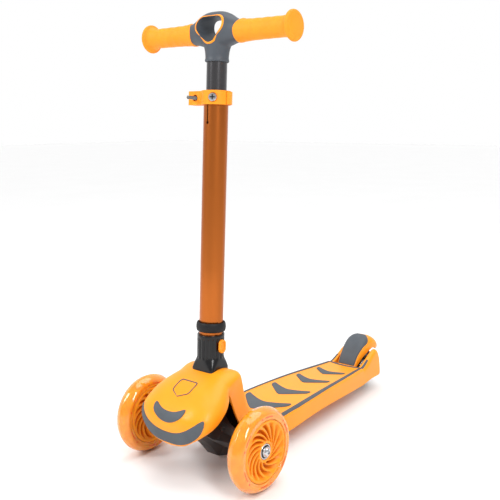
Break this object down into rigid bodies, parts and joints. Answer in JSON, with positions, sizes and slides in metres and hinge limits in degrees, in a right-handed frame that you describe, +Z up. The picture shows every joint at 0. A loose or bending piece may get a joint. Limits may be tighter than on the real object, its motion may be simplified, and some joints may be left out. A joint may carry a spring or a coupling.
{
  "type": "kick scooter",
  "caption": "Small child's kick scooter: lean-to-steer front wheels, one rear wheel under a foot-brake fender, telescopic T-bar with a quick-release clamp.",
  "frame": {"origin": "bottom centre of the bounding box, on the ground under the middle of the deck", "axes": "+Z up, -Y is the way the scooter rides, +X to the rider's left"},
  "size_m": [0.2674, 0.5662, 0.6534],
  "materials": {
    "orange_gloss": "gloss, injection moulded",
    "orange_satin": "satin",
    "orange_tyre": "translucent polyurethane",
    "orange_grip": "soft, matte",
    "grey_inlay": "matte, grippy",
    "grey_plastic": "fine matte grain",
    "black_plastic": "satin, glass-filled",
    "black_tyre": "matte polyurethane",
    "black_rubber": "matte",
    "anodised_tube": "anodised, gloss",
    "gunmetal_tube": "anodised, satin",
    "steel": "zinc plated"
  },
  "bodies": {
    "chassis": {"deck_body": "orange_gloss", "front_cover": "orange_gloss", "deck_border": "grey_inlay", "deck_chevron_1": "grey_inlay", "deck_chevron_2": "grey_inlay", "deck_chevron_3": "grey_inlay", "deck_chevron_4": "grey_inlay", "nose_chevron_small": "grey_inlay", "nose_chevron_large": "grey_inlay", "nose_badge": "orange_gloss", "steering_head": "black_plastic", "kingpin": "steel", "kingpin_nut": "steel", "kingpin_spacer": "black_plastic", "steering_bushing": "black_rubber", "stem_socket": "black_plastic", "brake_pin": "steel", "rear_axle": "steel", "rear_spacer_left": "black_plastic", "rear_spacer_right": "black_plastic"},
    "truck": {"truck_body": "black_plastic", "front_axle": "steel", "axle_bolt_left": "steel", "axle_bolt_right": "steel"},
    "left_wheel": {"left_tyre": "orange_tyre", "left_core": "orange_gloss", "left_bearing_left": "steel", "left_bearing_right": "steel"},
    "right_wheel": {"right_tyre": "orange_tyre", "right_core": "orange_gloss", "right_bearing_left": "steel", "right_bearing_right": "steel"},
    "rear_wheel": {"rear_tyre": "black_tyre", "rear_core": "black_plastic", "rear_bearing_left": "steel", "rear_bearing_right": "steel"},
    "brake": {"brake_fender": "orange_gloss", "brake_tread": "grey_inlay", "brake_block": "black_rubber"},
    "button": {"release_button": "orange_gloss"},
    "column": {"lower_tube": "anodised_tube", "stop_ring": "black_plastic", "clamp_collar": "orange_satin", "clamp_screw": "steel", "clamp_skewer": "steel", "lever_pin": "steel"},
    "lever": {"clamp_lever": "orange_satin"},
    "handlebar": {"upper_tube": "gunmetal_tube", "bar_joint": "grey_plastic", "joint_trim_front": "orange_gloss", "joint_trim_back": "orange_gloss", "bar_tube_left": "gunmetal_tube", "bar_tube_right": "gunmetal_tube", "grip_left": "orange_grip", "grip_right": "orange_grip"}
  },
  "joints": [
    {"name": "steering", "type": "hinge", "parent": "chassis", "child": "truck", "pos_m": [0, -0.1595, 0.06], "axis": [0, -0.4695, 0.8829], "range_deg": [-12, 12], "stiffness_Nm_per_rad": 6},
    {"name": "left_wheel_spin", "type": "hinge", "parent": "truck", "child": "left_wheel", "pos_m": [-0.1087, -0.2104, 0.06], "axis": [1, 0, 0], "continuous": true},
    {"name": "right_wheel_spin", "type": "hinge", "parent": "truck", "child": "right_wheel", "pos_m": [0.1087, -0.2104, 0.06], "axis": [1, 0, 0], "continuous": true},
    {"name": "rear_wheel_spin", "type": "hinge", "parent": "chassis", "child": "rear_wheel", "pos_m": [0, 0.2396, 0.038], "axis": [1, 0, 0], "continuous": true},
    {"name": "foot_brake", "type": "hinge", "parent": "chassis", "child": "brake", "pos_m": [0, 0.1971, 0.0465], "axis": [-1, 0, 0], "range_deg": [0, 9], "stiffness_Nm_per_rad": 0.8, "springref_deg": -11.46},
    {"name": "column_lift", "type": "slide", "parent": "chassis", "child": "column", "axis": [0, 0.0516, 0.9987], "range_m": [0, 0.04]},
    {"name": "button_press", "type": "slide", "parent": "chassis", "child": "button", "axis": [-1, 0, 0], "range_m": [0, 0.0025], "stiffness_N_per_m": 800, "springref_m": -0.002},
    {"name": "bar_height", "type": "slide", "parent": "column", "child": "handlebar", "axis": [0, 0.0516, 0.9987], "range_m": [-0.035, 0.14]},
    {"name": "clamp_lever_swing", "type": "hinge", "parent": "column", "child": "lever", "pos_m": [-0.0285, -0.1503, 0.5352], "axis": [0, 0.0516, 0.9987], "range_deg": [0, 100]}
  ]
}
